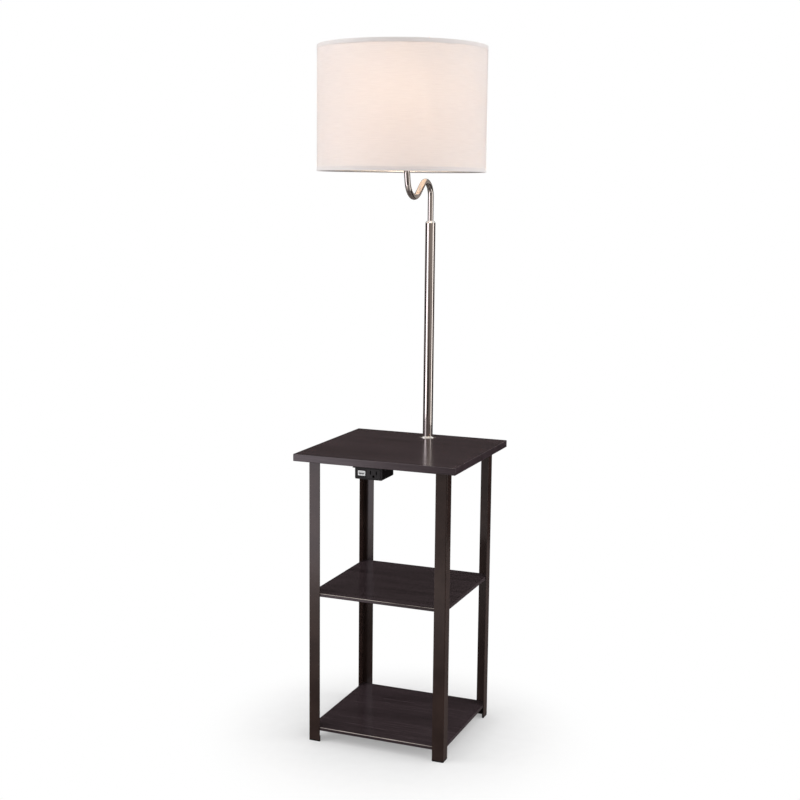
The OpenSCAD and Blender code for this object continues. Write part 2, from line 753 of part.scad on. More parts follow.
// Folded strips behind the slots, and a tube behind the earth hole.
strip_w = 4.8;
strip_d = 8;
module outlet_contacts() color(plated_brass) at_box() {
    for (side = [-1, 1])
        translate([outlet_x + side * slot_gap / 2, hollow_y, open_z + slot_up - slot_h / 2])
            difference() {
                translate([-strip_w / 2, 0, 0]) cube([strip_w, strip_d, slot_h]);
                translate([-1, -1, -1]) cube([2, strip_d, slot_h + 2]);
            }
    translate([outlet_x, hollow_y, open_z - earth_down]) rotate([-90, 0, 0])
        ring(earth_r, 1.8, strip_d);
}

// The white port block: a mouth 12.5 by 5.1 with a tongue across it.
mouth_w = 12.5;
mouth_h = 5.1;
mouth_d = 12;
module usb_port() color("white") at_box() {
    difference() {
        translate([usb_x, -proud, open_z]) face_block(usb_w, usb_h, usb_d, 1);
        translate([usb_x - mouth_w / 2, -1, open_z - mouth_h / 2])
            cube([mouth_w, mouth_d + 1, mouth_h]);
    }
    translate([usb_x - mouth_w / 2 + 0.8, 1.2, open_z + 0.3])
        cube([mouth_w - 1.6, mouth_d, 1.7]);
}

// The charging circuit's board, fixed to the back of the port.
board_w = 22;
board_d = 26;
board_t = 1.6;
module usb_board() color("#1f5a35") at_box()
    translate([usb_x - board_w / 2, usb_d - proud, open_z - usb_h / 2])
        cube([board_w, board_d, board_t]);

// The lead's way in: a soft bush in the box's back wall, with nothing in it.
grommet_x = 8;
grommet_r = 5;
module cord_grommet() color(black_plastic) at_box() translate([grommet_x, box_d, open_z])
    rotate([-90, 0, 0]) difference() {
        union() {
            translate([0, 0, -box_wall]) cylinder(r = grommet_r - hair, h = box_wall);
            cylinder(r = grommet_r + 2, h = 2);
            translate([0, 0, -box_wall - 2]) cylinder(r = grommet_r + 2, h = 2);
        }
        translate([0, 0, -box_wall - 3]) cylinder(r = 3, h = box_wall + 6);
    }

// ---------------------------------------------------------------- every piece, by name

tabletop();
tabletop_edging();
middle_shelf();
middle_shelf_edging();
bottom_shelf();
bottom_shelf_edging();
leg_front_left();
leg_front_right();
leg_back_left();
leg_back_right();
leg_glides();
tabletop_screws();
middle_shelf_screws();
bottom_shelf_screws();
pole_flange();
pole_tube();
pole_base_plug();
base_nipple();
base_washer();
base_nut();
pole_cap();
upper_bushing();
lower_bushing();
swing_arm();
arm_stem();
stop_pin();
retaining_clip();
head_nipple();
harp_saddle();
harp_ferrules();
harp();
finial();
socket_cap();
socket_shell();
socket_core();
screw_shell();
socket_contact();
switch_shaft();
switch_knob();
bulb_base();
bulb_glass();
shade_cover();
shade_liner();
shade_top_frame();
shade_bottom_ring();
shade_top_trim();
shade_bottom_trim();
power_box_shell();
power_box_face();
outlet_body();
outlet_contacts();
usb_port();
usb_board();
power_box_screws();
cord_grommet();
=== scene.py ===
# %% [markdown]
# # A floor lamp that grows out of a side table
#
# The real lamp is three foil-covered boards on four bent steel legs, a nickel-plated pole that
# stands on the top board, and a thinner tube that turns in the pole and carries a cloth shade.
# The solid model already holds every piece at its true place. This lesson dresses it: each
# visible surface is made again with smooth curves and small roundings, and gets its finish.

# %% Load the solid model
import math
import bpy
import bmesh
from mathutils import Matrix, Vector


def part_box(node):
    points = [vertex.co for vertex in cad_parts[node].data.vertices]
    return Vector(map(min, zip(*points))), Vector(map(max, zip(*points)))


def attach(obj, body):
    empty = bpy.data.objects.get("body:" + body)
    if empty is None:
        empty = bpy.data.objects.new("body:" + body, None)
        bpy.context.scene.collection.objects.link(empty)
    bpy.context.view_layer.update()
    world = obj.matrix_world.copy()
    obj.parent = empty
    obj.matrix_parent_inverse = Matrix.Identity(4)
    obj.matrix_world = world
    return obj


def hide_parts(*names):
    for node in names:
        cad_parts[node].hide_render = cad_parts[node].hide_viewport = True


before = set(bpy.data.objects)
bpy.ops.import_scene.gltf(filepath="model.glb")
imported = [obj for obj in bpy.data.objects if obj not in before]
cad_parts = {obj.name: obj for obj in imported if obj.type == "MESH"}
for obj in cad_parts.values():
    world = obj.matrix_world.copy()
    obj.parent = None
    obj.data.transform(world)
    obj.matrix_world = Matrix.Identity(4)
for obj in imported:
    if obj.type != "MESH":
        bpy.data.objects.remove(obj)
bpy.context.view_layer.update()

# %% [markdown]
# ## Rings of points
#
# Boards, tubes, turned parts and the drum of the shade are all a row of rings, joined by faces.
# Blender's own cubes and cylinders with modifiers could make them too, but one function that
# joins rings is easier to trust. It also lays out a flat map of the surface as it goes, so that
# brush lines or threads can follow a tube round its bends.

# %% Join rings into a skin
MM = 0.001
deg = math.radians


def skin(rings, loop=False, ends=False, tints=None):
    """Points, faces, flat map and tints of a row of rings; loop joins the last to the first."""
    count = len(rings[0])
    widest = max(rings, key=lambda ring: sum(math.dist(a, b) for a, b in zip(ring, ring[1:])))
    around = [0.0]
    for j in range(count):
        around.append(around[-1] + math.dist(widest[j], widest[(j + 1) % count]))
    along = [0.0]
    for i in range(len(rings)):
        along.append(along[-1] + math.dist(rings[i][0], rings[(i + 1) % len(rings)][0]))
    faces, flat, marks = [], [], []
    for i in range(len(rings) if loop else len(rings) - 1):
        n = (i + 1) % len(rings)
        for j in range(count):
            k = (j + 1) % count
            faces.append((i * count + j, i * count + k, n * count + k, n * count + j))
            flat.append([(around[j], along[i]), (around[j + 1], along[i]),
                         (around[j + 1], along[i + 1]), (around[j], along[i + 1])])
            marks.append(tints[i] if tints else 0)
    if ends:
        for start, tint in ((0, 0), ((len(rings) - 1) * count, -1)):
            faces.append(tuple(range(start, start + count)))
            flat.append([(p[0], p[1]) for p in rings[start // count]])
            marks.append(tints[tint] if tints else 0)
    points = [p for ring in rings for p in ring]
    return points, faces, flat, marks


tower = skin([[(0, 0, z), (1, 0, z), (1, 1, z), (0, 1, z)] for z in (0, 1, 2)])
print("three rings of four points give", len(tower[1]), "faces")

# %% [markdown]
# ## From skins to pieces
#
# A piece is one object that rides on one body of the lamp: the stand, the arm or the switch's
# shaft. It stands for one or more solids, and they are then hidden. Shapes are drawn in
# millimetres, as in the workshop, and turned to metres here. Smooth shading with sharp edges
# above 35 degrees shows the roundings and keeps real corners crisp.

# %% Turn skins into a piece
scene = bpy.context.scene
crease = 35


def put(name, data):
    """A new object in the scene for a mesh, a lamp or a camera."""
    made = bpy.data.objects.new(name, data)
    scene.collection.objects.link(made)
    return made


def piece(name, skins, finishes, body, stands_for):
    """One object from several skins, in millimetres, riding on a body of the lamp."""
    points, faces, flat, marks = [], [], [], []
    for part in skins:
        first = len(points)
        points += [Vector(p) * MM for p in part[0]]
        faces += [tuple(first + i for i in face) for face in part[1]]
        flat += part[2]
        marks += part[3]
    mesh = bpy.data.meshes.new(name)
    mesh.from_pydata(points, [], faces)
    flat_map = mesh.uv_layers.new(name="flat")
    corner = 0
    for face in flat:
        for u, v in face:
            flat_map.data[corner].uv = (u * MM, v * MM)
            corner += 1
    mesh.polygons.foreach_set("material_index", marks)
    work = bmesh.new()
    work.from_mesh(mesh)
    bmesh.ops.remove_doubles(work, verts=work.verts, dist=1e-6)
    bmesh.ops.recalc_face_normals(work, faces=work.faces)
    work.to_mesh(mesh)
    work.free()
    mesh.polygons.foreach_set("use_smooth", [True] * len(mesh.polygons))
    mesh.set_sharp_from_angle(angle=deg(crease))
    for finish in finishes:
        mesh.materials.append(finish)
    made = put(name, mesh)
    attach(made, body)
    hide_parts(*stands_for)
    print(f"{name}: {len(mesh.polygons)} faces")
    return made


print("pieces are drawn in millimetres, and one is", MM, "m")

# %% [markdown]
# ## Turned parts
#
# A lathe part is a profile of radii and heights, turned about an upright line. A Screw modifier
# does the same, but here the turned points can still be bent or waved afterwards. Roundings in
# a profile are short arcs.

# %% Rings for turned parts
def turned(profile, centre, sides=96, loop=False):
    """A profile of (radius, height) turned about an upright line through centre."""
    rings = []
    for radius, height in profile:
        rings.append([(centre[0] + radius * math.cos(math.tau * j / sides),
                       centre[1] + radius * math.sin(math.tau * j / sides),
                       centre[2] + height) for j in range(sides)])
    return skin(rings, loop)


def arc(centre, radius, start, stop, steps):
    """Points on a circle in a profile, with the angles in degrees."""
    angles = [deg(start + (stop - start) * k / steps) for k in range(steps + 1)]
    return [(centre[0] + radius * math.cos(a), centre[1] + radius * math.sin(a)) for a in angles]


print("a quarter turn in three steps:", [round(x, 2) for x, _ in arc((0, 0), 1, 0, 90, 3)])

# %% [markdown]
# ## Bent tubes
#
# A bent tube is a circle that walks along straight lengths and bends, the way a tube bender
# counts them. The walk gives the stations, and the sweep puts a ring of points at each.

# %% Rings for bent tubes
def walk(at, moves, step=3):
    """Stations (forward, up, heading) along a bent tube: [length] is straight, and
    [radius, turn] is a bend, with angles in degrees."""
    stations = [at]
    for move in moves:
        x, z, heading = stations[-1]
        if len(move) == 1:
            stations.append((x + move[0] * math.cos(deg(heading)),
                             z + move[0] * math.sin(deg(heading)), heading))
            continue
        radius = math.copysign(move[0], move[1])
        steps = math.ceil(abs(move[1]) / step)
        for k in range(1, steps + 1):
            now = heading + move[1] * k / steps
            stations.append((x + radius * (math.sin(deg(now)) - math.sin(deg(heading))),
                             z - radius * (math.cos(deg(now)) - math.cos(deg(heading))), now))
    return stations


def swept(stations, radius, centre, across, sides=32):
    """A round wire along stations; across is the level direction that they run in."""
    across, up = Vector(across), Vector((0, 0, 1))
    side = up.cross(across)
    rings = []
    for x, z, heading in stations:
        spot = Vector(centre) + across * x + up * z
        out = up * math.cos(deg(heading)) - across * math.sin(deg(heading))
        rings.append([tuple(spot + radius * (out * math.cos(math.tau * j / sides)
                                             + side * math.sin(math.tau * j / sides)))
                      for j in range(sides)])
    return skin(rings, ends=True)


bend = walk((0, 0, 90), [[100], [50, -90]])
print("a tube 100 mm up and round a bend of 50 mm ends at", [round(c, 1) for c in bend[-1]])

# %% [markdown]
# ## Board outlines
#
# A board is the same level rectangle at several heights, drawn in a little where its edge is
# rounded. Its corners are round too, with few points, since they are only 2 mm wide.

# %% Rings for boards
corner_steps = 6


def outline(w, d, r, centre, z):
    """A level rectangle with round corners."""
    ring = []
    for quarter, (sx, sy) in enumerate(((1, 1), (-1, 1), (-1, -1), (1, -1))):
        spot = (centre[0] + sx * (w / 2 - r), centre[1] + sy * (d / 2 - r))
        ring += [(*p, z) for p in arc(spot, r, 90 * quarter, 90 * quarter + 90, corner_steps)]
    return ring


print("an outline has", len(outline(10, 10, 2, (0, 0), 0)), "points")

# %% [markdown]
# ## Where things are
#
# The places are read from the solid model, so the dressed lamp can't drift away from it. The
# arm's bends are the exception: their radii and angles are the same named values as in the
# model's source, because a box can't tell a bend.

# %% Measure the solid model
def corners(node):
    """The lowest and highest corner of a solid, in millimetres."""
    low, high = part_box(node)
    return [c / MM for c in low], [c / MM for c in high]


def middle(low, high):
    """The point midway between two corners, seen from above."""
    return (low[0] + high[0]) / 2, (low[1] + high[1]) / 2


pole_low, pole_high = corners("pole_tube")
pole_at = middle(pole_low, pole_high)
pole_r = (pole_high[0] - pole_low[0]) / 2
shade_low, shade_high = corners("shade_cover")
shade_at = middle(shade_low, shade_high)
shade_r = (shade_high[0] - shade_low[0]) / 2
head_z = corners("harp_saddle")[0][2]
print("pole at", [round(c, 2) for c in pole_at], "shade at", [round(c, 2) for c in shade_at])
print("shade radius", round(shade_r, 1), "arm's end at", round(head_z, 1))

# %% [markdown]
# ## Camera
#
# The photograph was measured first: straight edges, rims and feet were matched by a pinhole
# camera. It stands 2.8 m away, a little above the pole's top, and looks a little down. A
# camera could be set by eye, but only a measured one lets the picture be laid over the
# photograph. The tilt of half a degree is the photographer's own.

# %% Set the camera
camera_at = (1.0518, -2.6226, 1.1692)
camera_yaw, camera_pitch, camera_roll = 21.846, 8.814, 0.572
camera_data = bpy.data.cameras.new("photo_camera")
camera_data.sensor_width = 36
camera_data.lens = 61.126
camera = put("photo_camera", camera_data)
camera.matrix_world = (
    Matrix.Translation(camera_at)
    @ Matrix.Rotation(deg(camera_yaw), 4, "Z")
    @ Matrix.Rotation(deg(90 - camera_pitch), 4, "X")
    @ Matrix.Rotation(deg(camera_roll), 4, "Z"))
scene.camera = camera
print("camera at", tuple(round(c, 3) for c in camera.matrix_world.translation))

# %% [markdown]
# ## Colour and nodes
#
# Finishes are matched to sRGB values, the numbers that a colour picker gives. Shading
# is worked out in linear light, so one function turns the first into the second. A second one
# adds a node with its settings and links, and everything else is built from those two: a new
# finish, and the step that nearly every pattern ends with, two colours mixed by the pattern.

# %% Helpers for finishes
def linear(hex_colour):
    """A colour as #rrggbb in linear light."""
    parts = [int(hex_colour[i:i + 2], 16) / 255 for i in (1, 3, 5)]
    return tuple(c / 12.92 if c <= 0.04045 else ((c + 0.055) / 1.055) ** 2.4
                 for c in parts) + (1.0,)


def add(tree, kind, settings=None, inputs=None):
    """One node: settings are its own choices, and inputs are values or other nodes' outputs."""
    node = tree.nodes.new("ShaderNode" + kind)
    for key, value in (settings or {}).items():
        setattr(node, key, value)
    for key, value in (inputs or {}).items():
        socket = node.inputs[key]
        if isinstance(value, bpy.types.NodeSocket):
            tree.links.new(value, socket)
        else:
            socket.default_value = value
    return node


def finish_of(name, **surface):
    """A new finish with one Principled surface; returns the material, its tree and surface."""
    material = bpy.data.materials.new(name)
    material.use_nodes = True
    tree = material.node_tree
    tree.nodes.clear()
    shader = add(tree, "BsdfPrincipled",
                 inputs={key.replace("_", " "): value for key, value in surface.items()})
    add(tree, "OutputMaterial", inputs={"Surface": shader.outputs[0]})
    return material, tree, shader


def shade_between(tree, amount, dark, light, low=0.3, high=0.7):
    """Two colours mixed by how far amount lies between low and high."""
    share = add(tree, "MapRange", inputs={"Value": amount, "From Min": low, "From Max": high})
    mixed = add(tree, "Mix", {"data_type": "RGBA"},
                {0: share.outputs[0], 6: linear(dark), 7: linear(light)})
    return mixed.outputs[2]


print("white is", linear("#ffffff")[:3], "mid grey is", round(linear("#808080")[0], 3))

# %% [markdown]
# ## Dark wood-grain foil
#
# The boards are chipboard wrapped in printed melamine foil, pressed smooth with a faint grain.
# The eye gets three things from it: near-black brown, long streaks a millimetre or two wide,
# and a clear, slightly soft reflection at a low angle. The streaks are noise stretched along
# the board's width. The texture works in metres, so a streak 1.6 mm wide and 90 mm long is a
# scale of 1 / 0.0016 one way and 1 / 0.09 the other. The edging is the same foil, a little
# duller. A pale copy of the foil paints a highlight on the shelves' front upper edges.

# %% Finish: melamine foil
streak_long, streak_wide = 0.09, 0.0016
band_long, band_wide = 0.35, 0.02


def grain_foil(name, dark, light, roughness, gloss=0.5):
    """Printed wood grain: fine streaks over wide soft bands, both along the board's width."""
    material, tree, shader = finish_of(name, Roughness=roughness, IOR=1.5,
                                       Specular_IOR_Level=gloss)
    place = add(tree, "TexCoord").outputs["Object"]
    along = add(tree, "Mapping", inputs={
        "Vector": place, "Scale": (1 / streak_long, 1 / streak_wide, 1 / streak_wide)})
    streaks = add(tree, "TexNoise", inputs={"Vector": along.outputs[0], "Scale": 1.0,
                                            "Detail": 4.0, "Roughness": 0.6})
    wide = add(tree, "Mapping", inputs={
        "Vector": place, "Scale": (1 / band_long, 1 / band_wide, 1 / band_wide)})
    bands = add(tree, "TexNoise", inputs={"Vector": wide.outputs[0], "Scale": 1.0, "Detail": 2.0})
    both = add(tree, "Math", {"operation": "MULTIPLY_ADD"},
               {0: bands.outputs[0], 1: 0.45, 2: streaks.outputs[0]})
    tree.links.new(shade_between(tree, both.outputs[0], dark, light, 0.5, 0.95),
                   shader.inputs["Base Color"])
    pores = add(tree, "Bump", inputs={"Strength": 0.06, "Distance": 0.0002,
                                      "Height": streaks.outputs[0]})
    tree.links.new(pores.outputs[0], shader.inputs["Normal"])
    return material


top_foil = grain_foil("melamine_foil", "#251d1f", "#4a3e42", 0.17, 0.4)
edge_foil = grain_foil("melamine_edging", "#231a1c", "#463a3f", 0.28, 0.5)
# a pale foil that paints a highlight on the shelves' front upper edges
painted_highlight_foil = grain_foil("painted_highlight_line", "#4a3d3b", "#f2e6da", 0.3, 0.5)
print("foils:", top_foil.name, edge_foil.name, painted_highlight_foil.name)

# %% [markdown]
# ## Powder-coated steel
#
# The legs are bent from 1.2 mm sheet and powder coated dark brown. Baked powder levels out
# into a skin like orange peel, with swells one or two millimetres across, so its highlights
# are broad and a little broken. The colour drifts very slightly over a few centimetres.

# %% Finish: powder coat
peel_size, cloud_size = 0.0016, 0.05
powder_coat, tree, shader = finish_of("powder_coat", Roughness=0.17, IOR=1.5,
                                      Specular_IOR_Level=0.45)
place = add(tree, "TexCoord").outputs["Object"]
peel = add(tree, "TexNoise", inputs={"Vector": place, "Scale": 1 / peel_size, "Detail": 2.0})
cloud = add(tree, "TexNoise", inputs={"Vector": place, "Scale": 1 / cloud_size, "Detail": 3.0})
tree.links.new(shade_between(tree, cloud.outputs[0], "#2c201d", "#392b27"),
               shader.inputs["Base Color"])
peel_bump = add(tree, "Bump", inputs={"Strength": 0.12, "Distance": 0.0003,
                                      "Height": peel.outputs[0]})
tree.links.new(peel_bump.outputs[0], shader.inputs["Normal"])
print("finish:", powder_coat.name)

# %% [markdown]
# ## Plated and bare metals
#
# The pole and the arm are steel tube with satin nickel plate: polished along the tube, so the
# reflections are long clean bands with a fine lengthwise line in them. The lines are 0.25 mm
# apart on the real tube and drawn 0.8 mm apart, or they would not show. Zinc-plated hardware
# is duller and cooler, and the brass parts are turned. All are metals, so their colour tints
# the reflection itself.

# %% Finish: nickel, zinc, brass and aluminium
def metal(name, dark, light, roughness, across, along):
    """A metal with brush lines this far apart and this long, in metres. Where across is 0,
    it has an even grain of the size along."""
    material, tree, shader = finish_of(name, Metallic=1.0, Roughness=roughness)
    place = add(tree, "UVMap", {"uv_map": "flat"}).outputs[0] if across else \
        add(tree, "TexCoord").outputs["Object"]
    stretch = (1 / (across or along), 1 / along, 1 / along)
    lines = add(tree, "TexNoise", inputs={
        "Vector": add(tree, "Mapping", inputs={"Vector": place, "Scale": stretch}).outputs[0],
        "Scale": 1.0, "Detail": 3.0})
    tree.links.new(shade_between(tree, lines.outputs[0], dark, light, 0.2, 0.8),
                   shader.inputs["Base Color"])
    spread = add(tree, "MapRange", inputs={"Value": lines.outputs[0], "To Min": roughness * 0.92,
                                           "To Max": roughness * 1.08})
    tree.links.new(spread.outputs[0], shader.inputs["Roughness"])
    return material


nickel = metal("satin_nickel_plate", "#d7d2cd", "#e3dfda", 0.09, 0.0008, 0.12)
zinc = metal("zinc_plate", "#a9abaa", "#c6c8c6", 0.35, 0, 0.003)
brass = metal("turned_brass", "#b39552", "#d0b36c", 0.28, 0, 0.002)
aluminium = metal("rolled_aluminium", "#c9cac9", "#dddedc", 0.3, 0, 0.004)
print("metals:", nickel.name, zinc.name, brass.name, aluminium.name)

# %% [markdown]
# ## Plastics and rubber
#
# The power box, knob and glides are moulded ABS with a fine spark texture: black and half
# matt, with grains drawn 0.4 mm wide, a little coarser than real ones. The outlet is glossier,
# and the charging port is the same plastic in white. The grommet is soft rubber, and the
# circuit board has a green lacquer.

# %% Finish: moulded plastics
def moulded(name, dark, light, roughness, grit, strength, gloss=0.5):
    """A moulded surface with a texture of grains grit metres wide."""
    material, tree, shader = finish_of(name, Roughness=roughness, IOR=1.53,
                                       Specular_IOR_Level=gloss)
    place = add(tree, "TexCoord").outputs["Object"]
    grains = add(tree, "TexNoise", inputs={"Vector": place, "Scale": 1 / grit, "Detail": 2.0})
    tree.links.new(shade_between(tree, grains.outputs[0], dark, light),
                   shader.inputs["Base Color"])
    texture = add(tree, "Bump", inputs={"Strength": strength, "Distance": 0.0001,
                                        "Height": grains.outputs[0]})
    tree.links.new(texture.outputs[0], shader.inputs["Normal"])
    return material


black_abs = moulded("black_abs", "#0b0b0c", "#121213", 0.42, 0.0004, 0.3, 0.2)
glossy_abs = moulded("glossy_black_abs", "#08080a", "#0f0f11", 0.22, 0.0004, 0.05, 0.3)
white_abs = moulded("white_abs", "#e6e7e8", "#f0f1f2", 0.25, 0.0005, 0.05)
rubber = moulded("soft_rubber", "#141414", "#1d1d1d", 0.7, 0.0005, 0.3)
lacquer = moulded("circuit_lacquer", "#1c5533", "#276a41", 0.3, 0.001, 0.1)
print("plastics:", black_abs.name, glossy_abs.name, white_abs.name, rubber.name, lacquer.name)

# %% [markdown]
# ## Shade cloth
#
# The shade is a fine off-white plain weave, glued to a stiff clear backing and lit from inside.
# Three things make it read as cloth: threads, here drawn 1.1 mm apart where the real ones are
# 0.5 mm, slubs where a thread is thicker, and a soft pale bloom at the drum's edges, which is
# sheen. Cloth and backing let part of the bulb's light through and scatter it, which is
# transmission with a high roughness: it puts the warm patch level with the bulb. A faint even
# painted glow on cloth, backing and tape stands for the light that wanders among the threads.

# %% Finish: shade cloth, backing and tape
wave_repeat = 0.314  # a wave texture at scale 1 repeats every 0.314 m
slub_long, slub_wide = 0.03, 0.0012


def woven(name, dark, light, thread, sheen, through, glow):
    """A weave with threads this many metres apart that lets light through, with a painted glow."""
    material, tree, shader = finish_of(name, Roughness=0.82, IOR=1.4,
                                       Transmission_Weight=through, Sheen_Weight=sheen,
                                       Sheen_Roughness=0.4, Emission_Strength=glow,
                                       Emission_Color=linear("#ffbe8c"))
    place = add(tree, "UVMap", {"uv_map": "flat"}).outputs[0]
    warp, weft = [add(tree, "TexWave", {"bands_direction": way, "wave_profile": "SIN"},
                      {"Vector": place, "Scale": wave_repeat / thread, "Distortion": 0.6,
                       "Detail": 1.0}).outputs[1] for way in "XY"]
    weave = add(tree, "Math", {"operation": "MULTIPLY"}, {0: warp, 1: weft})
    slub_map = add(tree, "Mapping", inputs={
        "Vector": place, "Scale": (1 / slub_long, 1 / slub_wide, 1)})
    slubs = add(tree, "TexNoise", inputs={"Vector": slub_map.outputs[0], "Scale": 1.0,
                                          "Detail": 2.0})
    mixed = add(tree, "Math", {"operation": "MULTIPLY_ADD"},
                {0: weave.outputs[0], 1: 0.35, 2: slubs.outputs[0]})
    tree.links.new(shade_between(tree, mixed.outputs[0], dark, light, 0.3, 0.9),
                   shader.inputs["Base Color"])
    threads = add(tree, "Bump", inputs={"Strength": 0.25, "Distance": 0.0002,
                                        "Height": mixed.outputs[0]})
    tree.links.new(threads.outputs[0], shader.inputs["Normal"])
    return material


cloth = woven("shade_cloth", "#e9e9ea", "#f5f5f6", 0.0011, 0.1, 0.48, 0.06)
backing = woven("shade_backing", "#efebe6", "#f5f2ee", 0.004, 0.0, 0.9, 0.1)
tape = woven("shade_tape", "#e6e3e3", "#f3f1f1", 0.0009, 0.1, 0.1, 0.03)
print("cloths:", cloth.name, backing.name, tape.name)

# %% [markdown]
# ## Bulb glass
#
# A soft-white bulb is clear glass with a white powder inside, which spreads its light all
# over. A lamp inside a clear ball could do the same, but slowly and with much noise, so the
# glass itself glows warmly under a glossy skin.

# %% Finish: soft-white glass
soft_white = finish_of("soft_white_glass", Base_Color=linear("#f6f1e8"), Roughness=0.1, IOR=1.52,
                       Emission_Color=linear("#ffe5ca"), Emission_Strength=56.0)[0]
print("finish:", soft_white.name)

# %% [markdown]
# ## Boards
#
# Each board is a slab with a thin strip of edging glued round it. A row of outlines makes it:
# flat underside, a rounding of 1.1 mm that catches a fine light line, the straight edge, and
# the same again on top. The outer 1.2 mm of the flat faces belongs to the strip. Smooth shading
# spreads the tilt of a rounding over the face beside it, so one more outline stands half a
# millimetre away and keeps the edge flat. On the two shelves a pale line is painted along the
# front of the upper edge as a highlight. A cube with a bevel would be quicker, but can't tell the
# strip.

# %% Make the three boards
round_r, corner, strip = 1.1, 2.0, 1.2
guard = 0.5
face_inset = 8


def board(name, node, painted_highlight=False):
    """A board for two solids; painted_highlight paints a highlight on its front upper edge."""
    low, high = corners(node + "_edging")
    w, d = high[0] - low[0], high[1] - low[1]
    mid = middle(low, high)
    steps = [(face_inset, low[2]), (strip, low[2])]
    for k in range(5):
        angle = deg(90 * k / 4)
        steps.append((round_r * (1 - math.sin(angle)), low[2] + round_r * (1 - math.cos(angle))))
    steps.append((0, low[2] + round_r + guard))
    steps += [(inset, low[2] + high[2] - z) for inset, z in reversed(steps)]
    rings = [outline(w - 2 * inset, d - 2 * inset, max(corner - inset, 0.3), mid, z)
             for inset, z in steps]
    tints = [0] + [1] * (len(rings) - 3) + [0, 0]
    made = piece(name, [skin(rings, ends=True, tints=tints)], [top_foil, edge_foil, painted_highlight_foil],
                 "stand", [node, node + "_edging"])
    # painted highlight: the faces of the front upper rounding get the pale foil
    for face in made.data.polygons if painted_highlight else ():
        x, y, z = face.center / MM
        if y < low[1] + round_r and z > high[2] - round_r / 2 and abs(x - mid[0]) < w / 2 - corner:
            face.material_index = 2


board("tabletop_board", "tabletop")
board("middle_board", "middle_shelf", painted_highlight=True)
board("bottom_board", "bottom_shelf", painted_highlight=True)

# %% [markdown]
# ## Legs
#
# A leg is one strip of sheet steel, bent square with an outer radius of 2 mm. Its outline is
# drawn once, with the corners of the sheet's edges rounded by 0.3 mm, and stretched up. Points
# half a millimetre from each rounding keep the flat sides flat in the light. A bent plane with
# a Solidify modifier would give the wall, but not the rounded edges of the sheet. The three
# small tabs that take the screws are welded inside.

# %% Make the four legs
leg_w, leg_wall, leg_bend, nick = 25.0, 1.2, 2.0, 0.3
tab_wall = 2.0
near, far = leg_bend + guard, leg_w - nick - guard
angle_outline = (
    arc((leg_bend, leg_bend), leg_bend, 180, 270, 8) + [(near, 0), (far, 0)]
    + arc((leg_w - nick, nick), nick, 270, 360, 3)
    + arc((leg_w - nick, leg_wall - nick), nick, 0, 90, 3) + [(far, leg_wall), (near, leg_wall)]
    + list(reversed(arc((leg_bend, leg_bend), leg_bend - leg_wall, 180, 270, 6)))
    + [(leg_wall, near), (leg_wall, far)] + arc((leg_wall - nick, leg_w - nick), nick, 0, 90, 3)
    + arc((nick, leg_w - nick), nick, 90, 180, 3) + [(0, far), (0, near)])
tab_outline = [(0.6, 0.6), (20.7, 0.6), (21, 0.9), (21, 8.8), (20.8, 9.2),
               (9.2, 20.8), (8.8, 21), (0.9, 21), (0.6, 20.7)]


def leg(node, side, end):
    """A leg at the corner where x has the sign of side and y the sign of end."""
    low, high = corners(node)
    corner_x = low[0] if side < 0 else high[0]
    corner_y = low[1] if end < 0 else high[1]

    def stand(flat_ring, z):
        return [(corner_x - side * x, corner_y - end * y, z) for x, y in flat_ring]

    shaft = skin([stand(angle_outline, low[2]), stand(angle_outline, high[2])], ends=True)
    tabs = []
    for shelf in ("tabletop", "middle_shelf", "bottom_shelf"):
        under = corners(shelf)[0][2]
        tabs.append(skin([stand(tab_outline, under - tab_wall), stand(tab_outline, under)],
                         ends=True))
    piece(node + "_sheet", [shaft] + tabs, [powder_coat], "stand", [node])


for node, side, end in (("leg_front_left", -1, -1), ("leg_front_right", 1, -1),
                        ("leg_back_left", -1, 1), ("leg_back_right", 1, 1)):
    leg(node, side, end)

# %% [markdown]
# ## Pole
#
# The pole is drawn tube with a pressed flange at its foot and a turned cap in its end. All
# three are turned shapes, so one profile each is enough, as with a Screw modifier. The tube's
# edge is rounded by 0.3 mm where it meets the cap, which leaves the fine dark line of the real
# joint. The cap's dome is part of a ball through the tube's edge and the rim of the arm's hole.

# %% Make the pole, flange and cap
foot, top = pole_low[2], pole_high[2]
pole_wall, lip = 1.0, 0.3
straight = top - 3 * lip - foot
pole_profile = ([(pole_r - pole_wall, foot), (pole_r, foot)]
                + [(pole_r, foot + straight * k / 12) for k in range(1, 13)]
                + arc((pole_r - lip, top - lip), lip, 0, 90, 3)
                + [(pole_r - pole_wall, top)])
piece("pole_tube_plated", [turned(pole_profile, (*pole_at, 0), loop=True)], [nickel],
      "stand", ["pole_tube"])
low, high = corners("pole_flange")
rim_round = 1.4
rim_at = (high[0] - low[0]) / 2 - rim_round
collar = [(1.8, 3.45), (1.2, 3.6), (0.3, 3.5), (0.05, 3.2)]  # out from the tube, and up
flange_profile = ([(pole_r, foot), (rim_at, foot)]
                  + arc((rim_at, foot), rim_round, 0, 70, 6)
                  + [(pole_r + out, foot + up) for out, up in collar])
piece("pole_flange_plated", [turned(flange_profile, (*pole_at, 0), loop=True)], [nickel],
      "stand", ["pole_flange"])
arm_r, arm_gap = 6.35, 0.5
dome_high = 5
bore_r, spigot_r, spigot_long = 8.5, pole_r - 1.05, 16
dome_drop = (pole_r ** 2 - (arm_r + arm_gap) ** 2 - dome_high ** 2) / (2 * dome_high)
dome_r = math.hypot(pole_r, dome_drop)
edge_angle = math.degrees(math.asin(dome_drop / dome_r))
lip_angle = math.degrees(math.acos((arm_r + arm_gap + lip) / dome_r))
cap_profile = ([(bore_r, top - spigot_long), (spigot_r, top - spigot_long), (spigot_r, top),
                (pole_r - lip, top)]
               + arc((0, top - dome_drop), dome_r, edge_angle + 1.2, lip_angle, 8)
               + [(arm_r + arm_gap, top + dome_high - lip), (arm_r + arm_gap, top + 1),
                  (bore_r, top + 1)])
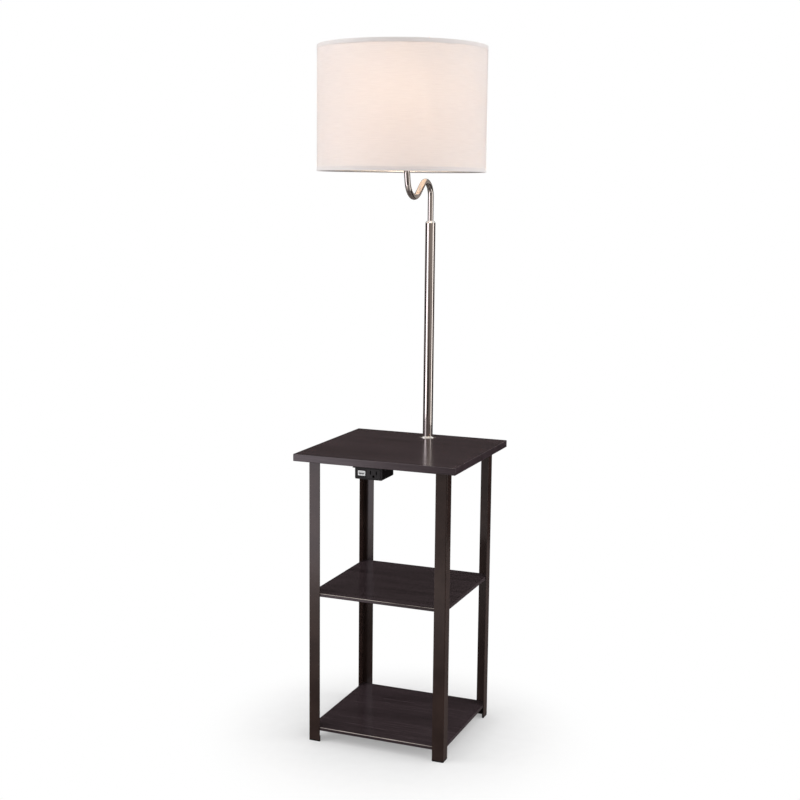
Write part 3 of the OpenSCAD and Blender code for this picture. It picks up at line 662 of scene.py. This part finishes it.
piece("pole_cap_turned", [turned(cap_profile, (*pole_at, 0), loop=True)], [nickel],
      "stand", ["pole_cap"])

# %% [markdown]
# ## Swing arm
#
# Half-inch tube, bent cold on a former, goes up out of the cap, over, through a dip and up
# into the shade. A curve with a round bevel would do, but its radii would have to be guessed
# from handles. Walking along the measured lengths and bends, with a ring every three degrees,
# keeps both the outline and the reflections smooth. The last two bends are in the shade.

# %% Make the swing arm
crest_r, fall, mid_fall = 32.0, 37.5, 28.0
dip_r, rise, climb = 40.0, 79.0, 16.0
inner_r, inner, reach = 22.0, 44.0, 172.0
arm_rise, arm_end = 56.0, 10.0
bends = (crest_r * (1 + math.sin(deg(fall))) + mid_fall * math.cos(deg(fall))
         + dip_r * (math.sin(deg(fall)) + math.sin(deg(rise))) + climb * math.cos(deg(rise))
         + inner_r * (1 + math.sin(deg(rise)) - 2 * math.sin(deg(inner))))
inner_run = (reach - bends) / math.cos(deg(inner))
arm_path = walk((0, top + 1, 90), [
    [arm_rise - 1], [crest_r, -90 - fall], [mid_fall], [dip_r, fall + rise], [climb],
    [inner_r, inner - rise], [inner_run], [inner_r, 90 - inner], [arm_end]])
piece("swing_arm_tube", [swept(arm_path, arm_r, (*pole_at, 0), (0, -1, 0), 48)], [nickel],
      "arm", ["swing_arm"])
print("the tube ends at", round(arm_path[-1][1], 2), "where the head begins at", round(head_z, 2))

# %% [markdown]
# ## Drum shade
#
# The cloth is one strip, 1081 by 248 mm, rolled round a backing sheet and lapped at the back.

# %% Make the cloth and the backing
base, crown = shade_low[2], shade_high[2]
drum = (*shade_at, 0)
drum_sides, levels = 256, 24
rim_gap = 0.3
lap_half = 2.2


def drum_wall(outer, inner, lap=0.0):
    """A thin round wall; lap swells its outside by that much over a few degrees at the back."""
    low, high = base + rim_gap, crown - rim_gap
    heights = [low + (high - low) * k / levels for k in range(levels + 1)]
    profile = [(outer, z) for z in heights] + [(inner, z) for z in reversed(heights)]
    points, faces, flat, marks = turned(profile, drum, drum_sides, loop=True)
    if lap:
        bent = []
        for x, y, z in points:
            across = Vector((x - drum[0], y - drum[1]))
            angle = math.degrees(math.atan2(across.y, across.x)) - 90
            if abs(angle) < lap_half and across.length > (outer + inner) / 2:
                swell = 0.5 - 0.5 * math.cos(math.pi * (angle / lap_half + 1))
                across *= 1 + lap / outer * swell
            bent.append((drum[0] + across.x, drum[1] + across.y, z))
        points = bent
    return points, faces, flat, marks


shade_cloth = piece("shade_cloth_drum", [drum_wall(shade_r, shade_r - 0.8, lap=0.35)],
                    [cloth], "arm", ["shade_cover"])
piece("shade_backing_drum", [drum_wall(shade_r - 1.0, shade_r - 1.5)], [backing], "arm",
      ["shade_liner"])

# %% [markdown]
# ## Rim tapes
#
# The tapes are folded over the rims: outside, across the edge, and down inside. One folded
# profile turned round the drum makes each. Hand-folded tape is never quite even, so its free
# edge wanders by a third of a millimetre.

# %% Fold the tapes over the rims
tape_wide, tape_thick, tape_bend = 8.0, 0.45, 0.9
inside_thick, inside_at = 0.4, 1.95
bend_steps = (0, 0.4, 0.8, 1.2, math.pi / 2)


def rim_tape(name, node, edge, way):
    """A folded tape on the rim at height edge; way is +1 where the drum is above it."""
    outer, inner = shade_r + tape_thick, shade_r - inside_at

    def fold_at(side, inward, a):
        return (side + inward * tape_bend * (1 - math.cos(a)),
                edge - way * (tape_thick - tape_bend * (1 - math.sin(a))))

    free, under = edge + way * tape_wide, edge + way * 1.0
    fold = [(outer - tape_thick, free), (outer, edge + way * (tape_wide - 0.2))]
    fold += [(outer, edge + way * (tape_wide * (1 - k / 4) + 0.4)) for k in (1, 2, 3)]
    fold += [fold_at(outer, -1, a) for a in bend_steps]
    fold += [fold_at(inner, 1, a) for a in reversed(bend_steps)]
    fold += [(inner, edge + way * tape_wide * k / 4) for k in (1, 2, 3, 4)]
    fold += [(inner + inside_thick, free), (inner + inside_thick, under),
             (outer - tape_thick, under)]
    points, faces, flat, marks = turned(fold, drum, drum_sides, loop=True)
    waved = []
    for x, y, z in points:
        angle = math.atan2(y - drum[1], x - drum[0])
        share = min(max((z - edge) * way / tape_wide, 0), 1)
        waved.append((x, y, z + way * share * (0.2 * math.sin(7 * angle + 1)
                                               + 0.12 * math.sin(17 * angle))))
    return piece(name, [(waved, faces, flat, marks)], [tape], "arm", [node])


top_tape = rim_tape("top_tape", "shade_top_trim", crown, -1)
bottom_tape = rim_tape("bottom_tape", "shade_bottom_trim", base, 1)

# %% [markdown]
# ## Wire frame
#
# Two rings of 3 mm wire hold the drum round. The upper one has three spokes that drop to a hub
# plate, which rests on the harp. All of it can be seen from above, so the wires are round: a
# hoop is a small circle turned about the drum's axis, and a spoke is a straight sweep.

# %% Make the wire frame
wire_r, spoke_start = 1.5, 8
hub_r, hub_bore, hub_wall, hub_round = 11, 3.3, 1.4, 0.4
low, high = corners("shade_top_frame")
ring_r = (high[0] - low[0]) / 2 - wire_r
ring_z = high[2] - wire_r
hub_top = corners("finial")[0][2]
hub_low = hub_top - hub_wall


def hoop(radius, z):
    """A ring of wire round the drum's axis."""
    return turned(arc((radius, z), wire_r, 0, 360, 16)[:-1], drum, 160, loop=True)


spokes = []
for turn in (-90, 30, 150):
    way = (math.cos(deg(turn)), math.sin(deg(turn)), 0)
    start = (spoke_start, hub_low + hub_wall / 2)
    slope = math.degrees(math.atan((ring_z - start[1]) / (ring_r - start[0])))
    spokes.append(swept([(*start, slope), (ring_r, ring_z, slope)], wire_r, drum, way, 16))
hub_profile = [(hub_bore, hub_low), (hub_r - hub_round, hub_low), (hub_r, hub_low + hub_round),
               (hub_r, hub_top - hub_round), (hub_r - hub_round, hub_top), (hub_bore, hub_top)]
hub_plate = turned(hub_profile, drum, 48, loop=True)
piece("shade_top_wires", [hoop(ring_r, ring_z), hub_plate] + spokes, [zinc], "arm",
      ["shade_top_frame"])
low, high = corners("shade_bottom_ring")
piece("shade_bottom_wire", [hoop((high[0] - low[0]) / 2 - wire_r, (low[2] + high[2]) / 2)],
      [zinc], "arm", ["shade_bottom_ring"])

# %% [markdown]
# ## Harp and finial
#
# The harp is a stiff wire that stands in the two ferrules of its saddle, bows out round the
# bulb and carries a threaded stud on its crown. It is a mirror image of itself, so its path is
# walked up one side, over the crown in a half circle, and down the other with the same moves
# backwards. The finial is a small turned nut with a ball, and it clamps the hub to the stud.

# %% Make the harp and the finial
harp_r, harp_foot, harp_start = 1.6, 28.0, 1.8
foot_bend, side_bend, harp_bow, harp_slant = 30, 60, 30, 28
harp_leg = [[17], [foot_bend, -harp_bow], [harp_slant], [side_bend, harp_bow], [32]]
harp_half = (harp_foot + (foot_bend + side_bend) * (1 - math.cos(deg(harp_bow)))
             + harp_slant * math.sin(deg(harp_bow)))
harp_path = walk((harp_foot, harp_start, 90), harp_leg + [[harp_half, 180]] + harp_leg[::-1], 5)
crown_z = head_z + max(up for _, up, _ in harp_path)
stud_shape = [(0, 0), (5, 0), (5, 2.6), (3, 2.6), (3, 14), (0, 14)]
stud = turned([(r, crown_z + up) for r, up in stud_shape], drum, 32)
piece("harp_wire", [swept(harp_path, harp_r, (*shade_at, head_z), (1, 0, 0), 16), stud], [nickel],
      "arm", ["harp"])
low, high = corners("finial")
ball_r, nut_bore, bore_deep = 6, 3.05, 10
nut = [(5.3, 0), (5.5, 0.3), (5.5, 1.7), (5.2, 2), (3.8, 2.4), (3.8, 4.6), (5, 5), (5, 6.4)]
finial_profile = ([(nut_bore, low[2])] + [(r, low[2] + up) for r, up in nut]
                  + arc((0, high[2] - ball_r), ball_r, -30, 90, 16)
                  + [(0, low[2] + bore_deep), (nut_bore, low[2] + bore_deep)])
piece("finial_turned", [turned(finial_profile, drum, 64, loop=True)], [nickel], "arm",
      ["finial"])

# %% [markdown]
# ## Lamp holder and bulb
#
# The holder's shell is drawn brass with nickel plate, and two rolled grooves near its rim stop
# the lining from sliding out. The bulb's cap is rolled aluminium with a round thread, here a
# row of round ridges, since the real thread's slope can't be seen. The envelope narrows from
# a ball to a neck along half a cosine, which is close to how blown glass runs.

# %% Make the lamp holder and the bulb
low, high = corners("socket_shell")
shell_r, shell_inner, shell_round, groove, margin = 17.0, 16.2, 0.3, 0.5, 6
grooved = (9, 11)
wall = [(shell_r - (groove if k in grooved else 0),
         low[2] + margin + (high[2] - low[2] - 2 * margin) * k / 12) for k in range(13)]
shell_profile = [(shell_inner, low[2]), (shell_r, low[2])] + wall + [
    (shell_r, high[2] - shell_round), (shell_r - shell_round, high[2]), (shell_inner, high[2])]
piece("socket_shell_drawn", [turned(shell_profile, drum, 64, loop=True)], [nickel], "arm",
      ["socket_shell"])
low, high = corners("bulb_base")
thread_r, thread_start, turns, pitch, ridge = 12.6, 6.5, 4, 2.9, 0.4
base_profile = [(r, low[2] + up) for r, up in ((0, 0), (4.5, 0), (9, 3), (12.4, 6))]
for k in range(turns * 8 + 1):
    base_profile.append((thread_r + ridge * math.cos(math.tau * k / 8),
                         low[2] + thread_start + pitch * k / 8))
base_profile += [(12.9, high[2]), (12.2, high[2]), (0, high[2])]
piece("bulb_base_rolled", [turned(base_profile, drum, 64)], [aluminium], "arm",
      ["bulb_base"])
low, high = corners("bulb_glass")
globe_r, neck_r, neck_long, swell, rise_step = 30, 12.5, 8, 14, 3.7
envelope = ([(neck_r, low[2]), (neck_r, low[2] + neck_long)]
            + [(neck_r + swell * (0.5 - 0.5 * math.cos(math.pi * k / 8)),
                low[2] + neck_long + rise_step * k) for k in range(1, 8)]
            + arc((0, high[2] - globe_r), globe_r, -25, 90, 24))
piece("bulb_envelope", [turned(envelope, drum, 64)], [soft_white], "arm",
      ["bulb_glass"])

# %% [markdown]
# ## Finishes for the rest
#
# The remaining solids already have their true shape, so they only get their finish: bearings,
# screws and contacts gain nothing from being made again. The solids behind the dressed pieces
# are never drawn, and get the finish that they would have.

# %% Finish the solids that stay
stays = {
    black_abs: ["leg_glides", "upper_bushing", "lower_bushing", "socket_core", "switch_knob",
                "power_box_shell", "power_box_face"],
    glossy_abs: ["outlet_body"],
    zinc: ["tabletop_screws", "middle_shelf_screws", "bottom_shelf_screws", "pole_base_plug",
           "base_washer", "base_nut", "retaining_clip", "power_box_screws", "arm_stem"],
    brass: ["base_nipple", "stop_pin", "head_nipple", "screw_shell", "socket_contact",
            "switch_shaft", "outlet_contacts"],
    white_abs: ["usb_port"], lacquer: ["usb_board"], rubber: ["cord_grommet"],
}
plain_nickel = metal("nickel_plate_on_stampings", "#b5aca3", "#cbc3ba", 0.24, 0, 0.01)
stays[plain_nickel] = ["harp_saddle", "harp_ferrules", "socket_cap"]


def dress(table):
    """Give each named solid its finish, and tell how many there were."""
    count = 0
    for finish, names in table.items():
        for name in names:
            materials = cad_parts[name].data.materials
            materials.clear()
            materials.append(finish)
            count += 1
    return count


hidden = {
    top_foil: ["tabletop", "middle_shelf", "bottom_shelf"],
    edge_foil: ["tabletop_edging", "middle_shelf_edging", "bottom_shelf_edging"],
    powder_coat: ["leg_front_left", "leg_front_right", "leg_back_left", "leg_back_right"],
    plain_nickel: ["pole_flange", "pole_tube", "pole_cap", "swing_arm", "harp", "finial",
                   "socket_shell"],
    zinc: ["shade_top_frame", "shade_bottom_ring"],
    aluminium: ["bulb_base"], soft_white: ["bulb_glass"],
    white_abs: ["shade_cover", "shade_liner", "shade_top_trim", "shade_bottom_trim"],
}
print("dressed", dress(stays) + dress(hidden), "of", len(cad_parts), "solids")

# %% [markdown]
# ## Floor
#
# The lamp stands on a sheet of white paper. A square plane would do, but a disc of 28 m has its
# edge equally far away on every side.

# %% Lay the floor
floor_r = 14


def disc(radius, sides, z=0.0):
    """The points and the one face of a level disc."""
    rim = [(*spot, z) for spot in arc((0, 0), radius, 0, 360, sides)[:-1]]
    return rim, [tuple(range(sides))]


floor_mesh = bpy.data.meshes.new("studio_floor")
rim, faces = disc(floor_r, 96)
floor_mesh.from_pydata(rim, [], faces)
put("studio_floor", floor_mesh)
print("floor laid,", 2 * floor_r, "m across")

# %% [markdown]
# ## White paper
#
# The paper looks white, but the light that it sends back up is that of a grey card, so the
# shelves' undersides stay dark. Near the feet it keeps the lamp's shadow, and farther out it
# fades to the white of the backdrop. A plain finish can't do both, so the nodes ask what a ray
# is for: to be seen, or only to carry light.

# %% Finish: white paper
shadow_near, shadow_far, shadow_fade = 0.18, 0.45, 0.3


def seen_by_eye(tree):
    """1 for a ray that is seen, also in gloss or through glass, and 0 for one of light."""
    rays = add(tree, "LightPath")
    plain = add(tree, "Math", {"operation": "MAXIMUM"},
                {0: rays.outputs["Is Camera Ray"], 1: rays.outputs["Is Glossy Ray"]})
    return add(tree, "Math", {"operation": "MAXIMUM"},
               {0: plain.outputs[0], 1: rays.outputs["Is Transmission Ray"]}).outputs[0]


white_floor, tree, shader = finish_of("white_paper", Roughness=0.9, IOR=1.4)
place = add(tree, "TexCoord").outputs["Object"]
fibres = add(tree, "TexNoise", inputs={"Vector": place, "Scale": 40.0, "Detail": 2.0})
seen = seen_by_eye(tree)
tone = add(tree, "Mix", {"data_type": "RGBA"},
           {0: seen, 6: linear("#b4b4b4"),
            7: shade_between(tree, fibres.outputs[0], "#fbfbfb", "#fefefe")})
tree.links.new(tone.outputs[2], shader.inputs["Base Color"])
away = add(tree, "VectorMath", {"operation": "LENGTH"}, {0: place})
fade = add(tree, "MapRange", {"interpolation_type": "SMOOTHSTEP"},
           {"Value": away.outputs["Value"], "From Min": shadow_near, "From Max": shadow_far,
            "To Min": shadow_fade})
blank = add(tree, "Math", {"operation": "MULTIPLY"}, {0: seen, 1: fade.outputs[0]})
glow = add(tree, "Emission", inputs={"Color": linear("#ffffff"), "Strength": 1.0})
paper = add(tree, "MixShader", inputs={0: blank.outputs[0], 1: shader.outputs[0],
                                       2: glow.outputs[0]})
output = next(node for node in tree.nodes if node.type == "OUTPUT_MATERIAL")
tree.links.new(paper.outputs[0], output.inputs["Surface"])
floor_mesh.materials.append(white_floor)
print("finish:", white_floor.name)

# %% [markdown]
# ## Light
#
# A pale world lights the lamp from all round, and is plain white where it is seen. A wide soft
# lamp on each side and a weaker one above give the boards and legs their form. Small bright
# lamps would be simpler, but they would draw hard shadows and dots on the polished tube.

# %% Light it
world = bpy.data.worlds.new("studio")
scene.world = world
world.use_nodes = True
tree = world.node_tree
tree.nodes.clear()
lighting, backdrop = [add(tree, "Background", inputs={"Color": linear("#ffffff"),
                                                      "Strength": level}) for level in (0.62, 1)]
both = add(tree, "MixShader", inputs={0: seen_by_eye(tree), 1: lighting.outputs[0],
                                      2: backdrop.outputs[0]})
add(tree, "OutputWorld", inputs={"Surface": both.outputs[0]})


def soft_lamp(name, at, aim, size, watts):
    """A flat lamp of this width and height at one point that faces another."""
    data = bpy.data.lights.new(name, "AREA")
    data.shape = "RECTANGLE"
    data.size, data.size_y = size
    data.energy = watts
    lamp = put(name, data)
    lamp.location = at
    lamp.rotation_euler = (Vector(aim) - Vector(at)).to_track_quat("-Z", "Y").to_euler()


soft_lamp("left_softbox", (-2.0, -1.68, 1.35), (0, 0, 0.95), (2.2, 2.6), 35)
soft_lamp("right_softbox", (2.7, 0.4, 1.3), (0, 0, 0.95), (1.8, 2.4), 36)
soft_lamp("top_softbox", (0.2, -0.6, 3.4), (0, 0, 0.6), (1.6, 1.6), 9)

# %% [markdown]
# ## Cards for reflections
#
# Polished tube shows its surroundings, so a photographer stands flags and papers round it. A
# picture of a studio on the world could do this too, but a card can be moved and toned by
# itself. Each is a plain mesh that shows in reflections only, and casts no light or shadow.

# %% A card that only shows in reflections
def card(name, points, faces, stuff, colours, way, reach, strength=1.0):
    """A glowing sheet that shows in reflections and nowhere else. Its colour goes from the
    first to the second while the distance along way goes through reach."""
    mesh = bpy.data.meshes.new(name)
    mesh.from_pydata(points, [], faces)
    finish, tree, shader = finish_of(f"{name}_{stuff}", Base_Color=linear("#000000"),
                                     Roughness=1.0, Specular_IOR_Level=0.0,
                                     Emission_Strength=strength)
    along = add(tree, "VectorMath", {"operation": "DOT_PRODUCT"},
                {0: add(tree, "TexCoord").outputs["Object"], 1: way})
    tree.links.new(shade_between(tree, along.outputs["Value"], *colours, *reach),
                   shader.inputs["Emission Color"])
    mesh.materials.append(finish)
    made = put(name, mesh)
    made.visible_camera = False
    made.visible_diffuse = False
    made.visible_shadow = False
    made.visible_transmission = False


print("a card is seen in gloss, and by no other ray")

# %% [markdown]
# ## Flags
#
# Flags are cloths on stands, here curved screens round the pole. A bright panel at the front
# left and a narrow one at the right draw the pole's two bright bands, brown and grey cloths in
# front draw its middle band, and dark ones behind draw its dark edges. The cloth straight
# behind the lamp is what the tabletop reflects.

# %% Stand the flags
flag_r, flag_top, flag_steps = 1.6, 1.9, 16
camera_side = math.degrees(math.atan2(camera.location.y - pole_at[1] * MM,
                                      camera.location.x - pole_at[0] * MM))


def flag(name, start, stop, colours, strength=1.0, heights=(0.2, 1.0)):
    """A curved screen from start to stop degrees round the pole, counted from the camera."""
    line = arc((pole_at[0] * MM, pole_at[1] * MM), flag_r, camera_side + start,
               camera_side + stop, flag_steps)
    points = [(*spot, z) for z in (0, flag_top) for spot in line]
    faces = [(k, k + 1, k + flag_steps + 2, k + flag_steps + 1) for k in range(flag_steps)]
    card(name, points, faces, "cloth", colours, (0, 0, 1), heights, strength)


flag("left_front_panel", -72, -41, ("#f8eff6", "#f8eff6"), strength=2.3)
flag("grey_front_flag", -41, -28, ("#b4aaa6", "#a09894"), heights=(0.5, 0.9))
flag("dark_front_flag", -28, 12, ("#2a2523", "#8a7e78"), heights=(0.5, 1.0))
flag("pale_front_flag", 12, 50, ("#746b68", "#8f8580"))
flag("right_front_flag", 50, 66, ("#746b68", "#c4bbb7"), heights=(0.85, 1.0))
flag("right_edge_panel", 66, 83, ("#fff8f4", "#fff8f4"), strength=1.9)
flag("right_back_flag", 83, 126, ("#1c1819", "#3c3436"))
flag("right_grey_flag", 126, 152, ("#1c1819", "#9a928e"), heights=(0.38, 0.6))
flag("back_flag", 152, 208, ("#2e2928", "#453f3d"), heights=(0.66, 0.84))
flag("left_grey_flag", 208, 236, ("#5a5351", "#9a928e"), heights=(0.38, 0.6))
flag("left_back_flag", 236, 288, ("#1c1819", "#3c3436"))

# %% [markdown]
# ## A paper under the lamp
#
# The legs and shelves reflect the floor more than anything else. A round sheet of paper, grey
# behind the lamp and white at the front left, gives each of their sides its own brightness. It
# shows in reflections only, like the flags, and lies just above the floor.

# %% Lay the paper
paper_r, paper_z = 2.2, 0.0004
front_left = (-0.268, -0.662, 0)
card("dark_paper", *disc(paper_r, 64, paper_z), "sheet", ("#6c6462", "#fff2ee"), front_left,
     (0.3, 1.0))
print("paper laid,", 2 * paper_r, "m across")

# %% [markdown]
# ## Hand over
#
# The picture keeps plain display settings, so the colours above are the colours seen.

# %% Set the display
scene.view_settings.view_transform = "Standard"
